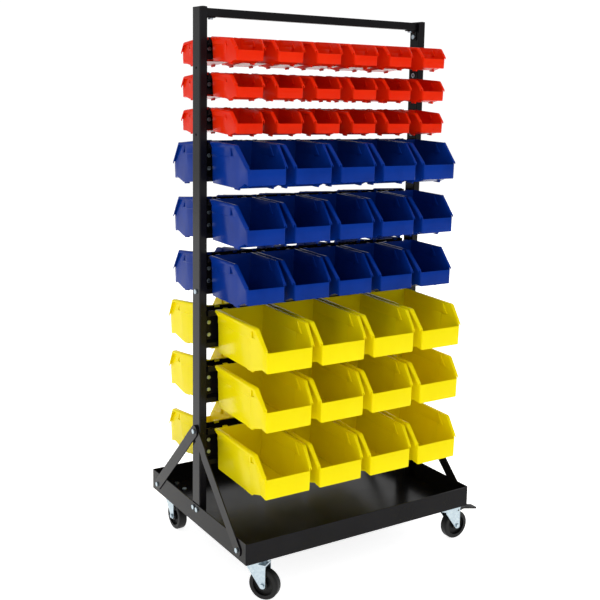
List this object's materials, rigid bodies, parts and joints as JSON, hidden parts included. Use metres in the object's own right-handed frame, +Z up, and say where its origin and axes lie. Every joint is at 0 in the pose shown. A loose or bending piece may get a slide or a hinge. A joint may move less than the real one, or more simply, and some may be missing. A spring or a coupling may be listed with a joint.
{
  "type": "mobile parts bin rack",
  "caption": "Wheeled black steel rack with a base tray, two braced uprights and rows of red, blue and yellow hopper bins hung on rails on both sides.",
  "frame": {"origin": "on the floor, under the middle of the tray", "axes": "+X along the tray towards the braked casters, -Y to the front, +Z up"},
  "size_m": [0.7375, 0.5571, 1.377],
  "materials": {
    "frame_paint": "black semi-gloss paint",
    "zinc": "bright zinc plating",
    "red_plastic": "moulded plastic, satin",
    "blue_plastic": "moulded plastic, satin",
    "yellow_plastic": "moulded plastic, satin",
    "wheel_black": "black, matt",
    "black_plastic": "black plastic, fine grain"
  },
  "bodies": {
    "rack": {"base_tray": "frame_paint", "left_upright": "frame_paint", "right_upright": "frame_paint", "top_bar": "frame_paint", "upright_caps": "black_plastic", "bar_brackets": "frame_paint", "insert_nuts": "zinc", "left_front_brace": "frame_paint", "left_rear_brace": "frame_paint", "right_front_brace": "frame_paint", "right_rear_brace": "frame_paint", "brace_bolts": "zinc", "foot_bolts": "zinc", "cross_bolts": "zinc", "bracket_screws": "zinc", "rail_bolts": "zinc", "rail_nuts": "zinc", "caster_bolts": "zinc", "front_small_rails": "frame_paint", "front_medium_rails": "frame_paint", "front_large_rails": "frame_paint", "rear_small_rails": "frame_paint", "rear_medium_rails": "frame_paint", "rear_large_rails": "frame_paint", "row1_bins": "red_plastic", "row2_bins": "red_plastic", "row3_bins": "red_plastic", "row4_bins": "blue_plastic", "row5_bins": "blue_plastic", "row6_bins": "blue_plastic", "row7_bins": "yellow_plastic", "row8_bins": "yellow_plastic", "row9_bins": "yellow_plastic", "rear_small_bins": "red_plastic", "rear_medium_bins": "blue_plastic", "rear_large_bins": "yellow_plastic", "caster_plates": "zinc"},
    "front_left_caster": {"front_left_fork": "zinc", "front_left_axle": "zinc"},
    "front_left_wheel_body": {"front_left_wheel": "wheel_black"},
    "front_right_caster": {"front_right_fork": "zinc", "front_right_axle": "zinc"},
    "front_right_wheel_body": {"front_right_wheel": "wheel_black"},
    "front_right_brake": {"front_right_pedal": "black_plastic"},
    "rear_left_caster": {"rear_left_fork": "zinc", "rear_left_axle": "zinc"},
    "rear_left_wheel_body": {"rear_left_wheel": "wheel_black"},
    "rear_right_caster": {"rear_right_fork": "zinc", "rear_right_axle": "zinc"},
    "rear_right_wheel_body": {"rear_right_wheel": "wheel_black"},
    "rear_right_brake": {"rear_right_pedal": "black_plastic"},
    "row1_end_bin_body": {"row1_end_bin": "red_plastic"},
    "row2_end_bin_body": {"row2_end_bin": "red_plastic"},
    "row3_end_bin_body": {"row3_end_bin": "red_plastic"},
    "row4_end_bin_body": {"row4_end_bin": "blue_plastic"},
    "row5_end_bin_body": {"row5_end_bin": "blue_plastic"},
    "row6_end_bin_body": {"row6_end_bin": "blue_plastic"},
    "row7_end_bin_body": {"row7_end_bin": "yellow_plastic"},
    "row8_end_bin_body": {"row8_end_bin": "yellow_plastic"},
    "row9_end_bin_body": {"row9_end_bin": "yellow_plastic"}
  },
  "joints": [
    {"name": "front_left_swivel", "type": "hinge", "parent": "rack", "child": "front_left_caster", "pos_m": [-0.294, -0.23, 0.0895], "axis": [0, 0, 1], "continuous": true},
    {"name": "front_left_roll", "type": "hinge", "parent": "front_left_caster", "child": "front_left_wheel_body", "pos_m": [-0.27737, -0.25376, 0.0375], "axis": [0.8192, 0.5736, 0], "continuous": true},
    {"name": "front_right_swivel", "type": "hinge", "parent": "rack", "child": "front_right_caster", "pos_m": [0.294, -0.23, 0.0895], "axis": [0, 0, 1], "continuous": true},
    {"name": "front_right_roll", "type": "hinge", "parent": "front_right_caster", "child": "front_right_wheel_body", "pos_m": [0.323, -0.23, 0.0375], "axis": [0, 1, 0], "continuous": true},
    {"name": "front_right_brake_press", "type": "hinge", "parent": "front_right_caster", "child": "front_right_brake", "pos_m": [0.325, -0.23, 0.0807], "axis": [0, 1, 0], "range_deg": [0, 10]},
    {"name": "rear_left_swivel", "type": "hinge", "parent": "rack", "child": "rear_left_caster", "pos_m": [-0.294, 0.23, 0.0895], "axis": [0, 0, 1], "continuous": true},
    {"name": "rear_left_roll", "type": "hinge", "parent": "rear_left_caster", "child": "rear_left_wheel_body", "pos_m": [-0.29299, 0.20102, 0.0375], "axis": [0.9994, 0.0349, 0], "continuous": true},
    {"name": "rear_right_swivel", "type": "hinge", "parent": "rack", "child": "rear_right_caster", "pos_m": [0.294, 0.23, 0.0895], "axis": [0, 0, 1], "continuous": true},
    {"name": "rear_right_roll", "type": "hinge", "parent": "rear_right_caster", "child": "rear_right_wheel_body", "pos_m": [0.323, 0.23, 0.0375], "axis": [0, 1, 0], "continuous": true},
    {"name": "rear_right_brake_press", "type": "hinge", "parent": "rear_right_caster", "child": "rear_right_brake", "pos_m": [0.325, 0.23, 0.0807], "axis": [0, 1, 0], "range_deg": [0, 10]},
    {"name": "row1_bin_lift", "type": "slide", "parent": "rack", "child": "row1_end_bin_body", "axis": [0, 0, 1], "range_m": [0, 0.012]},
    {"name": "row2_bin_lift", "type": "slide", "parent": "rack", "child": "row2_end_bin_body", "axis": [0, 0, 1], "range_m": [0, 0.012]},
    {"name": "row3_bin_lift", "type": "slide", "parent": "rack", "child": "row3_end_bin_body", "axis": [0, 0, 1], "range_m": [0, 0.012]},
    {"name": "row4_bin_lift", "type": "slide", "parent": "rack", "child": "row4_end_bin_body", "axis": [0, 0, 1], "range_m": [0, 0.012]},
    {"name": "row5_bin_lift", "type": "slide", "parent": "rack", "child": "row5_end_bin_body", "axis": [0, 0, 1], "range_m": [0, 0.012]},
    {"name": "row6_bin_lift", "type": "slide", "parent": "rack", "child": "row6_end_bin_body", "axis": [0, 0, 1], "range_m": [0, 0.012]},
    {"name": "row7_bin_lift", "type": "slide", "parent": "rack", "child": "row7_end_bin_body", "axis": [0, 0, 1], "range_m": [0, 0.012]},
    {"name": "row8_bin_lift", "type": "slide", "parent": "rack", "child": "row8_end_bin_body", "axis": [0, 0, 1], "range_m": [0, 0.012]},
    {"name": "row9_bin_lift", "type": "slide", "parent": "rack", "child": "row9_end_bin_body", "axis": [0, 0, 1], "range_m": [0, 0.012]}
  ]
}
